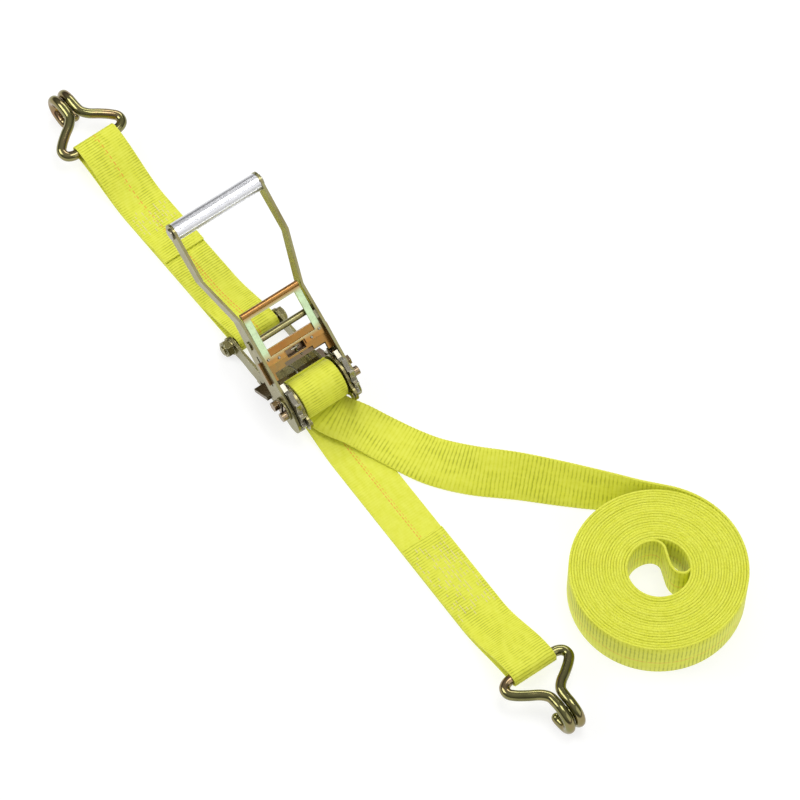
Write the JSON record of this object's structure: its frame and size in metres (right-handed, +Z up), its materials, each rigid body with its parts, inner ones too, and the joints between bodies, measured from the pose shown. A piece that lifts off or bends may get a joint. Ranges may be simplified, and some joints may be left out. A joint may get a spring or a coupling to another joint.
{
  "type": "ratchet tie-down",
  "caption": "Ratchet tie-down with a long aluminium-gripped handle, double-J wire hooks, sewn webbing straps and a coil of loose webbing on the floor.",
  "frame": {"origin": "on the floor under the spindle axis, on the underside of the floor plate", "axes": "+X along the load strap towards the near hook, +Y along the spindle, +Z up"},
  "size_m": [0.9163, 0.2936, 0.1819],
  "materials": {
    "zinc_plate": "yellow zinc plated sheet steel, satin with faint iridescence",
    "zinc_bright": "bright zinc plated steel, satin",
    "zinc_bronze": "yellow zinc plate with a bronze tint",
    "hook_zinc": "bright yellow zinc plated round bar",
    "grip_aluminium": "drawn aluminium, fine lengthwise lines",
    "webbing": "ribbed polyester webbing, fluorescent yellow"
  },
  "bodies": {
    "frame": {"left_side_plate": "zinc_plate", "right_side_plate": "zinc_plate", "floor_plate": "zinc_plate", "front_rivets": "zinc_plate", "anchor_bolt": "zinc_plate", "anchor_nut": "zinc_plate", "anchor_washer": "zinc_plate", "anchor_bush": "zinc_plate", "lock_spring": "zinc_bright", "fixed_webbing": "webbing", "load_webbing": "webbing", "tail_webbing": "webbing", "webbing_coil": "webbing", "coil_core": "webbing"},
    "lock_pawl": {"lock_pawl": "zinc_bronze"},
    "spindle": {"spindle_half_front": "zinc_plate", "spindle_half_rear": "zinc_plate", "left_ratchet_wheel": "zinc_bright", "right_ratchet_wheel": "zinc_bright", "retaining_washers": "zinc_plate", "spindle_webbing": "webbing"},
    "handle": {"left_handle_plate": "zinc_plate", "right_handle_plate": "zinc_plate", "handle_web": "zinc_plate", "handle_cross_rod": "zinc_plate", "grip_tube": "grip_aluminium", "grip_rod": "zinc_bright", "drive_spring": "zinc_bright"},
    "drive_pawl": {"drive_pawl": "zinc_bronze", "release_bar": "zinc_bronze", "release_bar_rivets": "zinc_bright"},
    "far_hook": {"far_hook": "hook_zinc"},
    "near_hook": {"near_hook": "hook_zinc"}
  },
  "joints": [
    {"name": "handle_swing", "type": "hinge", "parent": "frame", "child": "handle", "pos_m": [0, 0, 0.042], "axis": [0, 1, 0], "range_deg": [-36, 124]},
    {"name": "spindle_turn", "type": "hinge", "parent": "frame", "child": "spindle", "pos_m": [0, 0, 0.042], "axis": [0, 1, 0], "continuous": true},
    {"name": "drive_pawl_pull", "type": "slide", "parent": "handle", "child": "drive_pawl", "axis": [-0.788, 0, 0.6157], "range_m": [0, 0.006], "stiffness_N_per_m": 400, "springref_m": -0.01, "deforming": ["drive_spring"]},
    {"name": "lock_pawl_pull", "type": "slide", "parent": "frame", "child": "lock_pawl", "axis": [-0.8387, 0, -0.5446], "range_m": [0, 0.006], "stiffness_N_per_m": 400, "springref_m": -0.01, "deforming": ["lock_spring"]},
    {"name": "far_hook_pivot", "type": "hinge", "parent": "frame", "child": "far_hook", "pos_m": [-0.38493, -0.00631, 0.026], "axis": [-0.0227, 0.9997, 0], "range_deg": [-95, 105]},
    {"name": "near_hook_pivot", "type": "hinge", "parent": "frame", "child": "near_hook", "pos_m": [0.36794, -0.00687, 0.026], "axis": [0.0187, 0.9998, 0], "range_deg": [-105, 95]}
  ]
}
